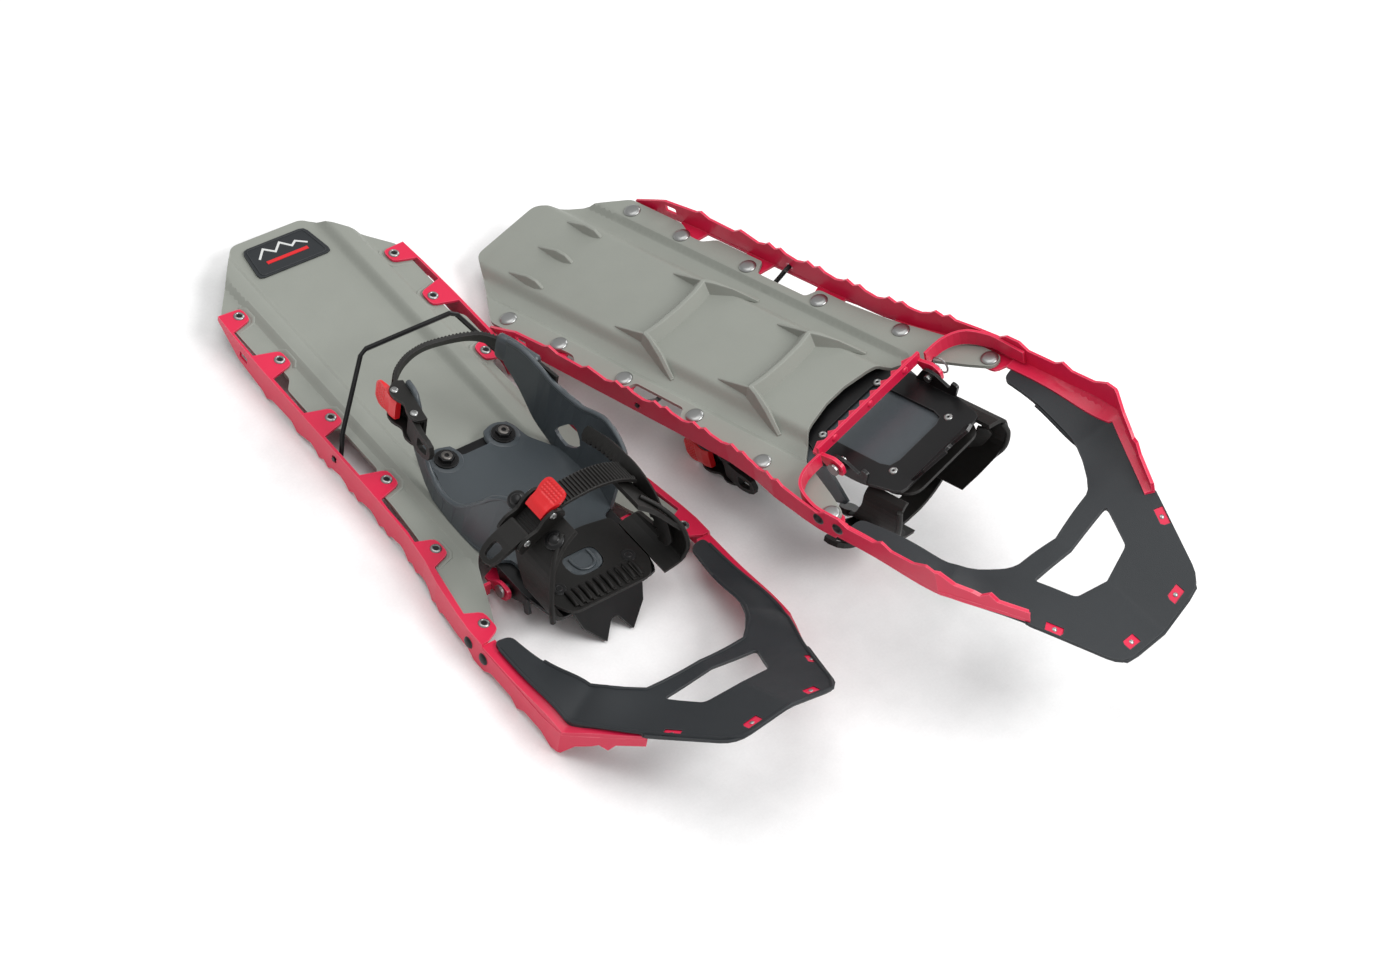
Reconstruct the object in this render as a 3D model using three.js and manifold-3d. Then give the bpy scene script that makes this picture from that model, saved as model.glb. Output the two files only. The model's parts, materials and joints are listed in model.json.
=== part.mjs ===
// A pair of moulded-deck snowshoes with steel traction rails and ratchet-strap bindings.
// Millimetres, +Z up, toes along +Y. The right shoe stands on its rails; the left one lies upside down.
// Each shoe is built in its own frame: +x is the outer side, +y the toe, z = 0 the top of the side rails.
import * as THREE from 'three';
import { mergeVertices } from 'three/addons/utils/BufferGeometryUtils.js';
import { TessellateModifier } from 'three/addons/modifiers/TessellateModifier.js';
import Module from 'manifold-3d';

const wasm = await Module();
wasm.setup();

// Driving dimensions
const GAP = 0.4;
const RAIL_THICKNESS = 2;
const RAIL_DEPTH = 20;
const TOOTH_DEPTH = 3.5;
const TOOTH_PITCH = 40;
const TOOTH_SPACING = 12;
const DECK_THICKNESS = 3;
const DECK_TOP = -RAIL_THICKNESS - GAP;
const DECK_CENTRE = -4.6;
const DECK_RIDGE = 2.2;
const NOSE_THICKNESS = 3.4;
const PIVOT_Y = 327;
const PIVOT_Z = -8;
const PIN_RADIUS = 3;
const EAR_X = 50;
const LUG_X = 54.5;
const PLATE_TOP = 2.5;
const FLOOR_TOP = 6;
const PAD_TOP = 9;
const STRAP_THICKNESS = 2.6;
const STRAP_WIDTH = 20;
const INSTEP_Y = 333;
const ARCH_WIDTH = 55;
const ARCH_BASE = 30;
const ARCH_HEIGHT = 45;
const INSTEP_ANGLE = THREE.MathUtils.degToRad(43);
const INSTEP_TILT = THREE.MathUtils.degToRad(58);
const HEEL_STRAP_Z = 58;
const WIRE_RADIUS = 2.1;
const BAIL_Y = 157;
const BAIL_Z = -8;

// Where the upside-down left shoe lies
const LEFT_TURN = THREE.MathUtils.degToRad(7.7);
const LEFT_PITCH = THREE.MathUtils.degToRad(13.9);
const LEFT_ROLL = THREE.MathUtils.degToRad(12.8);
const LEFT_PLACE = new THREE.Vector3(-174, 98.7, 15.6);

const RED = new THREE.MeshStandardMaterial({ color: 0xd8264c, roughness: 0.42, metalness: 0.3 });
const LEVER_RED = new THREE.MeshStandardMaterial({ color: 0xd2222a, roughness: 0.35, metalness: 0 });
const GREY = new THREE.MeshStandardMaterial({ color: 0x8f928b, roughness: 0.6, metalness: 0 });
const CHARCOAL = new THREE.MeshStandardMaterial({ color: 0x32363a, roughness: 0.55, metalness: 0 });
const BLACK = new THREE.MeshStandardMaterial({ color: 0x1b1a19, roughness: 0.6, metalness: 0 });
const BLACK_STEEL = new THREE.MeshStandardMaterial({ color: 0x1c1c1e, roughness: 0.45, metalness: 0.6 });
const SMOKE = new THREE.MeshStandardMaterial({ color: 0x465058, roughness: 0.4, metalness: 0 });
const STEEL = new THREE.MeshStandardMaterial({ color: 0xb4b6b8, roughness: 0.3, metalness: 1 });

// Closed counter-clockwise outline with rounded corners; each point is [x, y, corner radius]
function outline(points, holes = []) {
  const shape = new THREE.Shape();
  const corners = points.map(([x, y, radius = 0]) => ({ at: new THREE.Vector2(x, y), radius }));
  if (THREE.ShapeUtils.area(corners.map(({ at }) => at)) < 0) corners.reverse();
  corners.forEach(({ at, radius }, i) => {
    const before = corners[(i + corners.length - 1) % corners.length].at;
    const after = corners[(i + 1) % corners.length].at;
    const start = at.clone().add(before.clone().sub(at).setLength(radius));
    const end = at.clone().add(after.clone().sub(at).setLength(radius));
    if (i === 0) shape.moveTo(start.x, start.y);
    else shape.lineTo(start.x, start.y);
    if (radius > 0) shape.quadraticCurveTo(at.x, at.y, end.x, end.y);
  });
  shape.holes = holes;
  return shape;
}

function circle(x, y, radius) {
  return new THREE.Path().absarc(x, y, radius, 0, 2 * Math.PI);
}

function extrude(shape, depth, curveSegments = 2) {
  return new THREE.ExtrudeGeometry(shape, { depth, bevelEnabled: false, curveSegments });
}

// Outline in x,y between two heights
function plate(shape, z0, z1, curveSegments) {
  return extrude(shape, z1 - z0, curveSegments).translate(0, 0, z0);
}

// Outline in y,z between two x positions
function sidePlate(shape, x0, x1, curveSegments) {
  const turn = new THREE.Matrix4().makeBasis(
    new THREE.Vector3(0, 1, 0), new THREE.Vector3(0, 0, 1), new THREE.Vector3(1, 0, 0));
  return extrude(shape, x1 - x0, curveSegments).applyMatrix4(turn).translate(x0, 0, 0);
}

// Outline in x,z between two y positions
function crossPlate(shape, y0, y1, curveSegments) {
  return extrude(shape, y1 - y0, curveSegments).rotateX(Math.PI / 2).translate(0, y1, 0);
}

// Outline of a strip of constant thickness along a smooth curve
function strip(points, thickness, samples) {
  const curve = new THREE.SplineCurve(points.map(([x, y]) => new THREE.Vector2(x, y)));
  const left = [];
  const right = [];
  for (let i = 0; i <= samples; i += 1) {
    const at = curve.getPoint(i / samples);
    const along = curve.getTangent(i / samples);
    const across = new THREE.Vector2(-along.y, along.x).multiplyScalar(thickness / 2);
    left.push(at.clone().add(across));
    right.unshift(at.clone().sub(across));
  }
  return new THREE.Shape([...left, ...right]);
}

// Round bar along a run of points
function rod(points, radius, steps) {
  const path = new THREE.CatmullRomCurve3(points.map((p) => new THREE.Vector3(...p)), false, 'catmullrom', 0.12);
  const round = new THREE.Shape().absarc(0, 0, radius, 0, 2 * Math.PI);
  return new THREE.ExtrudeGeometry(round, { steps, extrudePath: path, bevelEnabled: false, curveSegments: 3 });
}

function toManifold(geometry) {
  const bare = geometry.clone();
  bare.deleteAttribute('normal');
  bare.deleteAttribute('uv');
  const merged = mergeVertices(bare, 1e-3);
  return new wasm.Manifold(new wasm.Mesh({
    numProp: 3,
    vertProperties: new Float32Array(merged.attributes.position.array),
    triVerts: new Uint32Array(merged.index.array),
  }));
}

function toGeometry(solid) {
  const mesh = solid.getMesh();
  const geometry = new THREE.BufferGeometry();
  geometry.setAttribute('position', new THREE.BufferAttribute(mesh.vertProperties, 3));
  geometry.setIndex(new THREE.BufferAttribute(mesh.triVerts, 1));
  return geometry;
}

function join(...parts) {
  return toGeometry(parts.map(toManifold).reduce((all, next) => all.add(next)));
}

function cut(body, ...tools) {
  return toGeometry(tools.map(toManifold).reduce((left, tool) => left.subtract(tool), toManifold(body)));
}

function common(a, b) {
  return toGeometry(toManifold(a).intersect(toManifold(b)));
}

function mirrored(points) {
  return [...points, ...points.toReversed().map(([x, y, radius]) => [-x, y, radius])];
}

// Deck: moulded sheet with raised ridges, two brake bars and fins underneath
function deckOutline() {
  return mirrored([
    [33, -74, 6], [60, -38, 10], [82, -10, 4], [82, 46, 3], [74, 62, 3], [74, 74, 3], [82, 84, 3],
    [82, 132, 2], [70, 137, 3], [70, 187, 3], [81, 192, 3], [81, 222, 6], [84, 260, 6], [91, 300, 8],
    [98, 338, 4], [98, 358, 6], [86, 359, 5], [77, 340, 4], [68, 318, 4], [60, 299, 6], [36, 283, 6], [10, 278],
  ]);
}

function deckSection(lift) {
  const half = [[38, DECK_CENTRE], [48, DECK_RIDGE], [58, DECK_RIDGE], [64, DECK_TOP], [106, DECK_TOP]];
  const top = mirrored(half.toReversed());
  return top.map(([x, z]) => [x, z + lift]);
}

// Cross bar with a leg slanting forward at each end, its faces a given distance from the centre line
function brakeOutline(y, half) {
  return outline(mirrored([
    [38 - 0.6 * half, y + half], [57 - 0.88 * half, y + 38 + 0.47 * half],
    [57 + 0.88 * half, y + 38 - 0.47 * half], [38 + 0.6 * half, y - half],
  ]));
}

function brakeBar(y) {
  return join(plate(brakeOutline(y, 8), -11, -3), plate(brakeOutline(y, 3), -17, -10));
}

function fin(x, y, length) {
  return sidePlate(outline([[y, -6.5], [y + length, -6.5], [y + 4, -15]]), x - 1.8, x + 1.8);
}

function deckGeometry() {
  const section = outline([...deckSection(0), ...deckSection(-DECK_THICKNESS).toReversed()]);
  const sheet = common(crossPlate(section, -90, 370), plate(outline(deckOutline()), -40, 40));
  const fins = [-34, 34].flatMap((x) => [fin(x, 82, 34), fin(x, 187, 34)]);
  const tailFins = [-34, 0, 34].map((x) => fin(x, -34, 34));
  return join(sheet, brakeBar(116), brakeBar(225), ...fins, ...tailFins);
}

function badgeGeometry() {
  const base = outline(mirrored([[34, -30, 5], [29, -64, 5]]));
  return plate(base, DECK_CENTRE + GAP, DECK_CENTRE + GAP + 1.2);
}

// Rail: folded steel with riveting tabs on top and a toothed lower edge
const FOLD_LINE = [
  [86, -8], [87.5, 20], [88.5, 60], [88.5, 200], [89.5, 250], [93, 280], [98, 302], [102.5, 335],
  [104, 350], [104, 460], [72, 512],
];
const TABS = [[66, 0, 7], [65, 55.5, 8], [65.5, 126, 8], [65.5, 200, 8], [74, 275, 8], [85, 351, 9]];

function railEdge() {
  const bottom = [];
  for (let y = 138; y < 320; y += TOOTH_PITCH) {
    bottom.push([y - 12, -RAIL_DEPTH + 2], [y - 5, -RAIL_DEPTH], [y, -RAIL_DEPTH - TOOTH_DEPTH]);
    bottom.push([y + TOOTH_SPACING / 2, -RAIL_DEPTH], [y + TOOTH_SPACING, -RAIL_DEPTH - TOOTH_DEPTH]);
    bottom.push([y + TOOTH_SPACING + 5, -RAIL_DEPTH]);
  }
  return outline([
    [-8, 0], [-8, -4], [26, -17], [60, -RAIL_DEPTH], [66, -23], [74, -19], [100, -18], [108, -23],
    ...bottom,
    [352, -18], [360, -23], [372, -23], [380, -18], [404, -18], [412, -23], [420, -18], [440, -18],
    [452, -23], [462, -20], [470, -8], [480, -1], [484, 3], [490, 1], [494, 9], [502, 14], [512, 20],
    [512, 28], [463, 0.4], [440, -NOSE_THICKNESS], [368, -NOSE_THICKNESS], [366, 0],
  ]);
}

function railFlange() {
  const inner = TABS.flatMap(([x, y, half]) => {
    const root = Math.min(86 + Math.max(0, (y - 240) * 0.13), 98);
    return [[root, y - half - 6], [x, y - half, 4], [x, y + half, 4], [root, y + half + 6]];
  });
  inner[0] = [84, -8];
  inner[inner.length - 1] = [98, 366];
  return outline([...inner, [104, 366], ...FOLD_LINE.slice(0, 9).toReversed()]);
}

function railGeometry() {
  const wall = [...FOLD_LINE, [70, 510.2], [102, 458.6], ...FOLD_LINE.slice(0, 9).toReversed()
    .map(([x, y]) => [x - RAIL_THICKNESS, y])];
  const side = common(plate(outline(wall), -30, 50), sidePlate(railEdge(), 40, 120));
  const pivotHole = sidePlate(outline([[BAIL_Y - 3, BAIL_Z - 3, 2], [BAIL_Y + 3, BAIL_Z - 3, 2],
    [BAIL_Y + 3, BAIL_Z + 3, 2], [BAIL_Y - 3, BAIL_Z + 3, 2]]), 80, 100);
  const tailHole = sidePlate(outline([[26, -13], [37, -13, 1], [37, -7, 1], [26, -7]]), 80, 100);
  return cut(join(side, plate(railFlange(), -RAIL_THICKNESS, 0)), pivotHole, tailHole);
}

// Nose: rising frame with a cross slot; height follows a plane plus a swell at each inner bend
function noseHeight(x, y) {
  const side = Math.abs(x);
  const ramp = Math.max(0, 0.518 * y - 0.2166 * side - 217.2);
  return ramp + 16 * Math.exp(-((side - 66) ** 2 + (y - 448) ** 2) / 1152);
}

function noseGeometry() {
  const outer = [
    [81, 371, 3], [103.6, 371], [103.6, 461, 8], [73, 512, 6], [45, 568, 11],
  ];
  const inner = [[0, 479.5], [44, 476, 10], [70, 447, 14], [78, 400, 20]];
  const whole = outline([...outer, ...outer.toReversed().map(([x, y, r]) => [-x, y, r]),
    ...inner.slice(1).toReversed().map(([x, y, r]) => [-x, y, r]), ...inner]);
  whole.holes = [outline([[42, 491, 4], [29, 517, 4], [0, 521], [-29, 517, 4], [-42, 491, 4]])];
  const flat = plate(whole, -NOSE_THICKNESS + 0.8, 0.8);
  const fine = new TessellateModifier(34, 8).modify(flat);
  const at = fine.attributes.position;
  for (let i = 0; i < at.count; i += 1) {
    at.setZ(i, at.getZ(i) + noseHeight(at.getX(i), at.getY(i)));
  }
  return fine;
}

// Cross member: a bracket on each rail carrying a toothed bar with pivot lugs
function bracketGeometry() {
  const path = [[100.5, 377], [100.5, 360], [100, 345], [92, 326], [78, 317.5], [60, 316.5]];
  const band = common(
    plate(strip(path, 2.2, 16), -22, 0),
    sidePlate(outline([[312, -19], [330, -21], [380, -17], [380, -6], [312, -8]]), 50, 110));
  return band;
}

function pivotBarGeometry() {
  const teeth = [];
  for (let x = 48; x >= -48; x -= 12) teeth.push([x, 303], [x - 6, 308]);
  teeth.pop();
  const bar = plate(outline([[57.5, 313.8], [57.5, 307], ...teeth, [-57.5, 307], [-57.5, 313.8]]), -14.4, -12);
  const web = plate(outline([[-57.5, 311.4], [57.5, 311.4], [57.5, 313.8], [-57.5, 313.8]]), -21, -12);
  const lug = outline([[311.4, -14.4], [327, -17, 3], [335, -13, 4], [335, -3, 4], [322, -3, 4], [311.4, -12]],
    [circle(PIVOT_Y, PIVOT_Z, PIN_RADIUS + GAP)]);
  return join(bar, web, sidePlate(lug, LUG_X, LUG_X + 3, 4), sidePlate(lug, -LUG_X - 3, -LUG_X, 4));
}

function pinGeometry() {
  const profile = [[0, 0], [PIN_RADIUS, 0], [PIN_RADIUS, 11.2], [5, 11.2], [5, 13], [0, 13]];
  return new THREE.LatheGeometry(profile.map(([r, h]) => new THREE.Vector2(r, h)), 12)
    .rotateZ(-Math.PI / 2).translate(EAR_X - 2.8, PIVOT_Y, PIVOT_Z);
}

function ringGeometry() {
  const section = [];
  for (let i = 0; i <= 6; i += 1) {
    const turn = (i / 6) * 2 * Math.PI;
    section.push(new THREE.Vector2(7 + 0.8 * Math.cos(turn), 0.8 * Math.sin(turn)));
  }
  return new THREE.LatheGeometry(section, 16)
    .rotateZ(Math.PI / 2).translate(-EAR_X - 12.2, PIVOT_Y + 1.5, PIVOT_Z - 3.4);
}

// Crampon: pivoting steel plate with side ears, a window and front points
function cramponGeometry() {
  const window = outline([[-31, 290, 5], [31, 290, 5], [31, 356, 10], [-31, 356, 10]]);
  const base = outline(mirrored([
    [16, 203, 6], [39, 203, 8], [42, 240, 6], [42, 286, 6], [52.5, 306, 4], [52.5, 346, 6], [45, 378, 6],
  ]), [window]);
  const ear = outline([[312, 1], [318, -8], [322, -14, 4], [332, -14, 4], [346, -6, 3], [349, -14, 2],
    [355, -12, 3], [350, 1]], [circle(PIVOT_Y, PIVOT_Z, PIN_RADIUS + GAP)]);
  const points = outline([[-32, 2], [32, 2], [27, -14], [12, -30.6, 1], [3, -16, 2.5], [-3, -16, 2.5], [-12, -30.6, 1],
    [-27, -14]]);
  const claw = crossPlate(points, -1.25, 1.25).rotateX(THREE.MathUtils.degToRad(40)).translate(0, 376.8, 0);
  return join(plate(base, 0, PLATE_TOP), sidePlate(ear, EAR_X, EAR_X + 2.5, 4),
    sidePlate(ear, -EAR_X - 2.5, -EAR_X, 4), claw);
}

// Harness: moulded floor with a heel arm on each side. The outer arm dips beside the heel;
// the inner arm is a broad panel with a drop-shaped hole.
const OUTER_ARM = [
  [312, 3], [236, 3], [222, 8], [205, 20, 6], [180, 46, 2], [179, 73, 4], [194, 73, 5], [208, 52, 8],
  [222, 26, 8], [240, 15, 6], [264, 18, 8], [290, 50, 8], [302, 57, 4], [312, 55, 2],
];
const INNER_ARM = [
  [312, 3], [236, 3], [216, 14, 6], [198, 34, 8], [180, 48, 2], [179, 70, 4], [196, 72, 6], [228, 62, 14],
  [257, 57, 8], [274, 63, 8], [300, 60, 6], [312, 55, 3],
];

// Upright band through a run of points; it leans by a given amount per millimetre of height at its front
function armWall(points, profile, lean, holes) {
  const wall = plate(strip(points, 3, 12), 0, 90);
  const at = wall.attributes.position;
  for (let i = 0; i < at.count; i += 1) {
    const front = THREE.MathUtils.smoothstep(at.getY(i), 215, 285);
    at.setX(i, at.getX(i) + lean * front * at.getZ(i));
  }
  return common(wall, sidePlate(outline(profile, holes), 20, 90));
}

function harnessGeometry() {
  const floor = outline(mirrored([
    [13, 213, 3], [14, 199, 6], [38, 199, 8], [41, 222, 4], [56, 246, 6], [58, 290, 6], [53, 311, 3], [42, 316, 4],
    [40, 366, 8],
  ]));
  const path = [[52, 312], [57, 288], [56, 250], [51, 215], [45, 180]];
  const drop = outline([[235, 19, 5], [250, 11, 7], [265, 23, 7], [252, 39, 7]]);
  const outer = armWall(path, OUTER_ARM, -0.24, []);
  const inner = toGeometry(toManifold(armWall(path, INNER_ARM, 0.12, [drop])).mirror([1, 0, 0]));
  return join(plate(floor, PLATE_TOP + GAP, FLOOR_TOP), outer, inner);
}

function boltGeometry() {
  const washer = new THREE.CylinderGeometry(9.5, 9.5, 1.4, 16).rotateX(Math.PI / 2).translate(0, 0, 0.7);
  const head = new THREE.CylinderGeometry(6.2, 6.6, 4.4, 6).rotateX(Math.PI / 2).translate(0, 0, 2.6);
  return join(washer, head).translate(26, 211, FLOOR_TOP + GAP);
}

function toePadGeometry() {
  const opening = outline([[-15, 336, 8], [15, 336, 8], [15, 358, 12], [-15, 358, 12]]);
  const pad = outline(mirrored([[20, 318, 6], [43, 322, 4], [43.5, 368, 4], [36, 383, 8]]), [opening]);
  const ribs = [];
  for (let x = -27; x <= 27; x += 6) {
    ribs.push(new THREE.BoxGeometry(2.6, 15, 3).translate(x, 373.5, PAD_TOP));
  }
  return join(plate(pad, FLOOR_TOP + GAP, PAD_TOP, 4), ...ribs);
}

// Point on the arch over the forefoot, pushed outward by a given amount
function archPoint(degrees, out = 0) {
  const turn = THREE.MathUtils.degToRad(degrees);
  return [(ARCH_WIDTH + out) * Math.cos(turn), ARCH_BASE + (ARCH_HEIGHT + out) * Math.sin(turn)];
}

// Toe wings: the outer one is a broad panel up to the buckle, the inner one a band looping to the strap
const OUTER_WING = [
  [348, 4], [383, 4, 4], [380, 30, 18], [366, 58, 12], [353, 92], [314, 92], [314, 60, 4], [335, 38, 6],
  [346, 20, 4],
];
const INNER_WING = [
  [330, 4], [385, 4, 3], [388, 26, 10], [381, 50, 14], [362, 74, 10], [350, 92], [322, 92], [327, 66, 6],
  [346, 54, 6], [360, 40, 6], [364, 25, 6], [352, 18, 5], [330, 15, 4],
];

function toeWingGeometry(profile, bulge) {
  const path = [[44.9, 8], [52 + bulge, 13], archPoint(-8, bulge), archPoint(10, bulge), archPoint(26, bulge / 4)];
  path.push(archPoint(46), archPoint(62));
  return common(crossPlate(strip(path, 3, 18), 300, 400), sidePlate(outline(profile), 20, 80));
}

// Directions of the instep buckle: towards the strap, and away from the foot
const INSTEP_ALONG = new THREE.Vector3(-Math.sin(INSTEP_TILT), 0, Math.cos(INSTEP_TILT));
const INSTEP_OUT = new THREE.Vector3(Math.cos(INSTEP_TILT), 0, Math.sin(INSTEP_TILT));

function instepPlace() {
  const [x, z] = archPoint(THREE.MathUtils.radToDeg(INSTEP_ANGLE), 2.2);
  return new THREE.Vector3(x, INSTEP_Y, z);
}

function instepStrapGeometry() {
  const angles = [150, 138, 124, 110, 96, 84];
  const path = angles.map((degrees) => archPoint(degrees, 6));
  for (const along of [24, 14, 4]) {
    const at = instepPlace().addScaledVector(INSTEP_ALONG, along).addScaledVector(INSTEP_OUT, 4.3);
    path.push([at.x, at.z]);
  }
  return crossPlate(strip(path, STRAP_THICKNESS, 24), INSTEP_Y - STRAP_WIDTH / 2, INSTEP_Y + STRAP_WIDTH / 2);
}

function heelStrapGeometry() {
  const path = [[-56.8, 228], [-51.6, 196], [-46, 173], [-33, 155], [0, 146.5], [22, 149.5], [38, 158.5],
    [47, 168], [50.8, 176.2], [53.4, 191]];
  return plate(strip(path, STRAP_THICKNESS, 26), HEEL_STRAP_Z - 9, HEEL_STRAP_Z + 9);
}

// Ratchet buckle in its own frame: strap enters along +x, z points away from the foot
const BUCKLE_WIDTH = 27;

function buckleBodyGeometry() {
  const tray = new THREE.BoxGeometry(42, BUCKLE_WIDTH, 2.4).translate(-1, 0, 1.2);
  const cheek = outline([[-22, 0.5], [20, 0.5], [22, 6, 3], [16, 14, 4], [6, 14, 4], [-2, 9, 3], [-12, 12, 4],
    [-22, 8, 3]]);
  const wall = (y) => crossPlate(cheek, y - 1.2, y + 1.2);
  return join(tray, wall(BUCKLE_WIDTH / 2 - 1.2), wall(1.2 - BUCKLE_WIDTH / 2));
}

function ratchetLeverGeometry() {
  const profile = outline([[4, 7.5, 2], [12, 7, 2], [16, 8.5, 3], [30, 13, 1.4], [30, 16, 1.4],
    [22, 15.6, 4], [12, 14.6, 4], [4, 12, 2]]);
  const pad = outline([[2, -9.4], [16, -9.4, 3], [22, -11.5, 3], [31, -11.5, 6], [31, 11.5, 6], [22, 11.5, 3],
    [16, 9.4, 3], [2, 9.4]]);
  return common(crossPlate(profile, -14, 14), plate(pad, 0, 20));
}

function releaseLeverGeometry() {
  const loop = outline([[-45, -8, 7], [-28, -10, 5], [-8, -10, 2], [-8, 10, 2], [-28, 10, 5], [-45, 8, 7]],
    [outline([[-41, -4, 3], [-28, -5.4, 3], [-28, 5.4, 3], [-41, 4, 3]])]);
  const profile = outline([[-52, 3, 1], [-30, 6.5, 6], [-8, 4.4], [-8, 9, 2], [-30, 10.5, 6], [-52, 7, 1]]);
  return common(plate(loop, 0, 20), crossPlate(profile, -14, 14));
}

// Heel lifter: bent wire pivoting in the rails
function bailGeometry() {
  const arm = [[89.6, BAIL_Y, BAIL_Z], [82.6, BAIL_Y, BAIL_Z], [81, 155.6, -5.6], [75.5, 147, 6.6],
    [72.5, 145, 9.6], [44, 120, 46], [41, 118, 48.6]];
  const far = arm.toReversed().map(([x, y, z]) => [-x, y, z]);
  return rod([...arm, ...far], WIRE_RADIUS, 34);
}

// Turns a group so its x and z axes point the given ways
function face(group, along, outward) {
  const across = new THREE.Vector3().crossVectors(outward, along);
  group.setRotationFromMatrix(new THREE.Matrix4().makeBasis(along, across, outward));
}

function buildShoe(prefix) {
  const shoe = new THREE.Group();
  const add = (name, geometry, material, parent = shoe) => {
    const mesh = new THREE.Mesh(geometry, material.clone());
    mesh.name = `${prefix}_${name}`;
    parent.add(mesh);
    return mesh;
  };
  const addPair = (name, geometry, material) => {
    add(`${name}_outer`, geometry, material);
    add(`${name}_inner`, geometry, material).scale.x = -1;
  };
  const addBuckle = (name, place) => {
    shoe.add(place);
    add(`${name}_buckle`, buckleBodyGeometry(), BLACK, place);
    add(`${name}_ratchet_lever`, ratchetLeverGeometry(), LEVER_RED, place);
    add(`${name}_release_lever`, releaseLeverGeometry(), BLACK, place);
  };

  add('deck', deckGeometry(), GREY);
  add('tail_badge', badgeGeometry(), CHARCOAL);
  addPair('rail', railGeometry(), RED);
  add('nose', noseGeometry(), CHARCOAL);
  addPair('bracket', bracketGeometry(), RED);
  add('pivot_bar', pivotBarGeometry(), RED);
  addPair('pivot_pin', pinGeometry(), STEEL);
  add('pin_ring', ringGeometry(), STEEL);
  add('crampon', cramponGeometry(), BLACK_STEEL);
  add('harness', harnessGeometry(), SMOKE);
  addPair('harness_bolt', boltGeometry(), BLACK_STEEL);
  add('toe_pad', toePadGeometry(), BLACK);
  add('toe_wing_outer', toeWingGeometry(OUTER_WING, 0), BLACK);
  add('toe_wing_inner', toeWingGeometry(INNER_WING, 7), BLACK).scale.x = -1;
  add('instep_strap', instepStrapGeometry(), BLACK);
  add('heel_strap', heelStrapGeometry(), BLACK);
  add('lift_bail', bailGeometry(), BLACK_STEEL);

  const instep = new THREE.Group();
  instep.position.copy(instepPlace());
  face(instep, INSTEP_ALONG, INSTEP_OUT);
  addBuckle('instep', instep);

  const heel = new THREE.Group();
  heel.position.set(50.2, 196.6, HEEL_STRAP_Z);
  face(heel, new THREE.Vector3(-0.169, -0.986, 0), new THREE.Vector3(0.986, -0.169, 0));
  addBuckle('heel', heel);
  return shoe;
}

const right = buildShoe('right');
const left = buildShoe('left');
const flipped = new THREE.Group();
flipped.add(left);
left.scale.z = -1;
flipped.rotation.set(LEFT_PITCH, LEFT_ROLL, LEFT_TURN, 'ZXY');
flipped.position.copy(LEFT_PLACE);

const pair = new THREE.Group();
pair.name = 'snowshoes';
pair.add(right, flipped);
pair.updateMatrixWorld(true);
const box = new THREE.Box3().setFromObject(pair, true);
const middle = box.getCenter(new THREE.Vector3());
pair.position.set(-middle.x, -middle.y, -box.min.z);
pair.updateMatrixWorld(true);

export default pair;
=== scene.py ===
"""A pair of moulded-deck snowshoes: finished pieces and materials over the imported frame."""

import json
import math

import bmesh
import bpy
from mathutils import Matrix, Vector
from mathutils.geometry import delaunay_2d_cdt


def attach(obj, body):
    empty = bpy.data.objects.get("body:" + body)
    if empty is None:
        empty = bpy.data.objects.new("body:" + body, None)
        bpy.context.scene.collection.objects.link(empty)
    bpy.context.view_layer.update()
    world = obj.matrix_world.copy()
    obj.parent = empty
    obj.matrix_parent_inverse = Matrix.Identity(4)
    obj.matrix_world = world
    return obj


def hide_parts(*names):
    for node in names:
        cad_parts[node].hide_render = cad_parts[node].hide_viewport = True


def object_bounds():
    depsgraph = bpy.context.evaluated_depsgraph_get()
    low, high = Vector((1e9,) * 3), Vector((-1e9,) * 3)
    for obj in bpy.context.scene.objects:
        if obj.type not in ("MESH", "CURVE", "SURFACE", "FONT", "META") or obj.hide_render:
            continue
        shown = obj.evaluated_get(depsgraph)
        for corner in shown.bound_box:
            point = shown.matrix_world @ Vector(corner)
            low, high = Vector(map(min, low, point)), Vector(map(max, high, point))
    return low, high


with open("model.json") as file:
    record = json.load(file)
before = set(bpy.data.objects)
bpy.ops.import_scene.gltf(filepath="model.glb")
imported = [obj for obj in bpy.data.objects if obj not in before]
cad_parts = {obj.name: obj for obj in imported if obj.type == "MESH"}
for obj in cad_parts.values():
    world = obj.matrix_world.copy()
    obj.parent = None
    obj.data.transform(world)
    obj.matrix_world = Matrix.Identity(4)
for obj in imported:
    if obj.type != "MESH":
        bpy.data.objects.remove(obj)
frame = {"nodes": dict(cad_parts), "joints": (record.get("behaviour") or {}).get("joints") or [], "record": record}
CAD_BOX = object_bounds()
SCENE = bpy.context.scene
MM = 0.001

# ---------------------------------------------------------------- shoe frames
# Each shoe is described in its own millimetres: +x outer side, +y toe, z = 0 top of the side rails.
PIVOT = Vector((0, 327, -8))
LEFT_TURN, LEFT_PITCH, LEFT_ROLL = (math.radians(a) for a in (7.7, 13.9, 12.8))
LEFT_PLACE = Vector((-174, 98.7, 15.6))


def joint(name):
    return next(j for j in frame["joints"] if j["name"] == name)


PLACE = {"right": Matrix.Translation(Vector(joint("right_binding_pivot")["pos_m"]) - PIVOT * MM)
         @ Matrix.Scale(MM, 4)}
PLACE["left"] = (
    PLACE["right"] @ Matrix.Translation(LEFT_PLACE)
    @ Matrix.Rotation(LEFT_TURN, 4, "Z") @ Matrix.Rotation(LEFT_PITCH, 4, "X")
    @ Matrix.Rotation(LEFT_ROLL, 4, "Y") @ Matrix.Diagonal((1, 1, -1, 1)))
SIDES = ("right", "left")


# ---------------------------------------------------------------- camera and light
CAMERA_AT = Vector((1013.2, 1396.9, 1621.7))
AZIMUTH, ELEVATION, TILT = (math.radians(a) for a in (133.25, 45.93, 11.54))
FOCAL_MM = 77.15


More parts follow.
